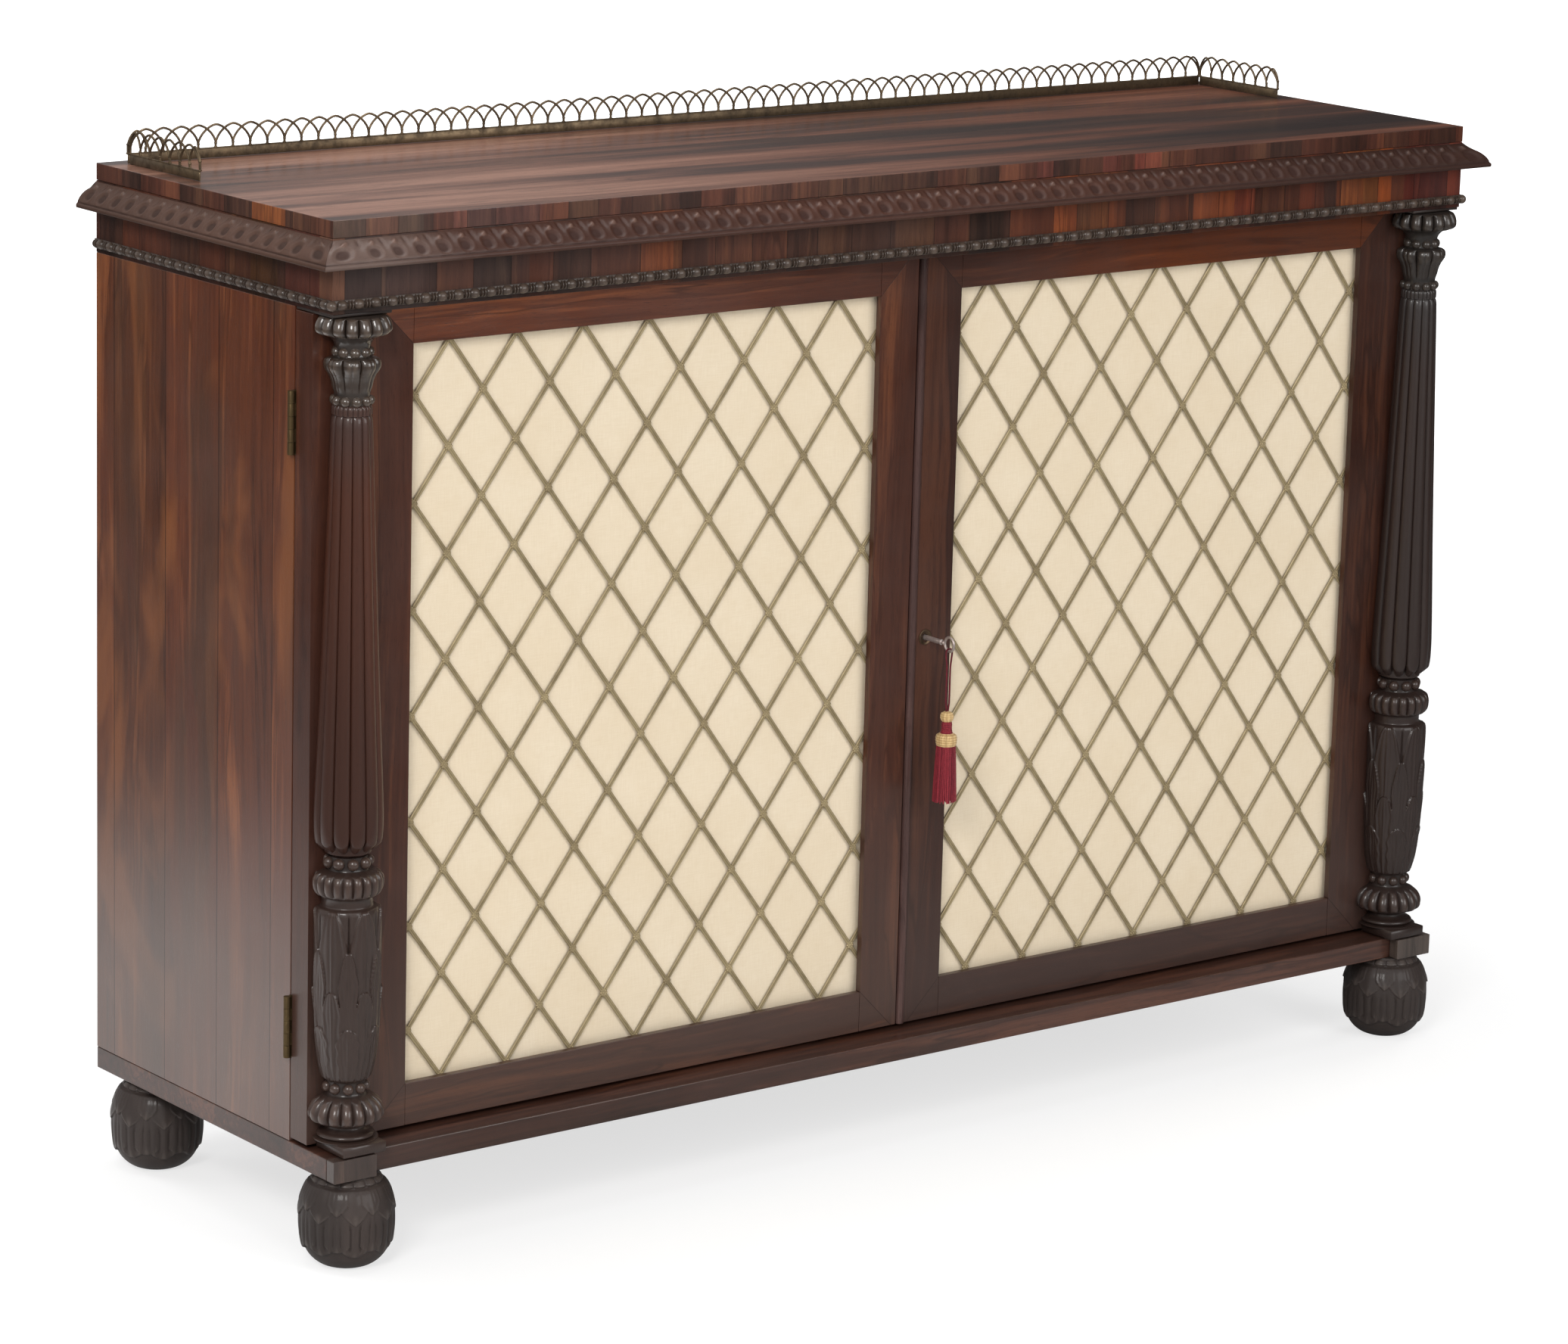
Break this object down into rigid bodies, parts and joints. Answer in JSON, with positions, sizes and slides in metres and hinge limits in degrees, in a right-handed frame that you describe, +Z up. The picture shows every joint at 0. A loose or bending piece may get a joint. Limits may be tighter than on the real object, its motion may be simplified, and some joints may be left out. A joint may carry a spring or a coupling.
{
  "type": "side cabinet",
  "caption": "Low cupboard with brass-grille doors between turned columns, an inner shelf, a pierced brass gallery round the top and bun feet.",
  "frame": {"origin": "on the floor, under the middle of the cabinet's box", "axes": "+X to the right along the front, +Y from the doors to the back, +Z up"},
  "size_m": [1.3426, 0.4092, 0.9443],
  "materials": {
    "rosewood_veneer": "polished",
    "crossbanded_frieze": "polished",
    "carved_rosewood": "waxed",
    "inside_pine": "bare, darkened with age",
    "gallery_brass": "polished, lightly tarnished",
    "grille_brass": "aged",
    "fittings_brass": "aged",
    "steel": "worn",
    "cream_cloth": "plain weave, stretched",
    "burgundy_thread": "twisted silk with gold bands"
  },
  "bodies": {
    "case": {"top_board": "rosewood_veneer", "gadroon_front": "carved_rosewood", "gadroon_left": "carved_rosewood", "gadroon_right": "carved_rosewood", "frieze_front": "crossbanded_frieze", "frieze_left": "crossbanded_frieze", "frieze_right": "crossbanded_frieze", "bead_front": "carved_rosewood", "bead_left": "carved_rosewood", "bead_right": "carved_rosewood", "soffit_board": "inside_pine", "side_panel_left": "rosewood_veneer", "side_panel_right": "rosewood_veneer", "back_panel": "inside_pine", "bottom_board": "inside_pine", "shelf": "inside_pine", "shelf_bearer_left": "inside_pine", "shelf_bearer_right": "inside_pine", "base_board": "rosewood_veneer", "plinth_block_left": "carved_rosewood", "plinth_block_right": "carved_rosewood", "foot_front_left": "carved_rosewood", "foot_front_right": "carved_rosewood", "foot_back_left": "carved_rosewood", "foot_back_right": "carved_rosewood", "gallery_back": "gallery_brass", "gallery_left": "gallery_brass", "gallery_right": "gallery_brass", "left_upper_case_leaf": "fittings_brass", "left_lower_case_leaf": "fittings_brass", "right_upper_case_leaf": "fittings_brass", "right_lower_case_leaf": "fittings_brass"},
    "left_leaf": {"left_hinge_stile": "rosewood_veneer", "left_meeting_stile": "rosewood_veneer", "left_top_rail": "rosewood_veneer", "left_bottom_rail": "rosewood_veneer", "left_grille": "grille_brass", "left_cloth_panel": "cream_cloth", "left_column": "carved_rosewood", "left_upper_door_leaf": "fittings_brass", "left_lower_door_leaf": "fittings_brass"},
    "right_leaf": {"right_hinge_stile": "rosewood_veneer", "right_meeting_stile": "rosewood_veneer", "right_top_rail": "rosewood_veneer", "right_bottom_rail": "rosewood_veneer", "right_grille": "grille_brass", "right_cloth_panel": "cream_cloth", "right_column": "carved_rosewood", "right_upper_door_leaf": "fittings_brass", "right_lower_door_leaf": "fittings_brass", "meeting_bead": "carved_rosewood", "lock_case": "fittings_brass", "escutcheon": "fittings_brass"},
    "turning_key": {"key": "steel"},
    "thrown_bolt": {"lock_bolt": "steel"},
    "hanging_tassel": {"tassel_cord": "burgundy_thread", "tassel": "burgundy_thread"},
    "upper_bolt": {"top_flush_bolt": "fittings_brass"},
    "lower_bolt": {"bottom_flush_bolt": "fittings_brass"}
  },
  "joints": [
    {"name": "left_door_hinge", "type": "hinge", "parent": "case", "child": "left_leaf", "pos_m": [-0.6535, -0.1201, 0.468], "axis": [0, 0, -1], "range_deg": [0, 170]},
    {"name": "right_door_hinge", "type": "hinge", "parent": "case", "child": "right_leaf", "pos_m": [0.6535, -0.1201, 0.468], "axis": [0, 0, 1], "range_deg": [0, 170]},
    {"name": "key_turn", "type": "hinge", "parent": "right_leaf", "child": "turning_key", "pos_m": [0.0198, -0.18235, 0.474], "axis": [0, 1, 0], "range_deg": [0, 150]},
    {"name": "lock_bolt_throw", "type": "slide", "parent": "right_leaf", "child": "thrown_bolt", "axis": [-1, 0, 0], "range_m": [0, 0.008]},
    {"name": "tassel_hang", "type": "hinge", "parent": "turning_key", "child": "hanging_tassel", "pos_m": [0.0198, -0.18235, 0.4675], "axis": [0, 1, 0], "range_deg": [-150, 0]},
    {"name": "upper_flush_bolt_slide", "type": "slide", "parent": "left_leaf", "child": "upper_bolt", "axis": [0, 0, 1], "range_m": [0, 0.008]},
    {"name": "lower_flush_bolt_slide", "type": "slide", "parent": "left_leaf", "child": "lower_bolt", "axis": [0, 0, -1], "range_m": [0, 0.008]}
  ],
  "couplings": [
    {"joint": "lock_bolt_throw", "follows": "key_turn", "m_per_rad": 0.0030558},
    {"joint": "tassel_hang", "follows": "key_turn", "ratio": -1}
  ]
}
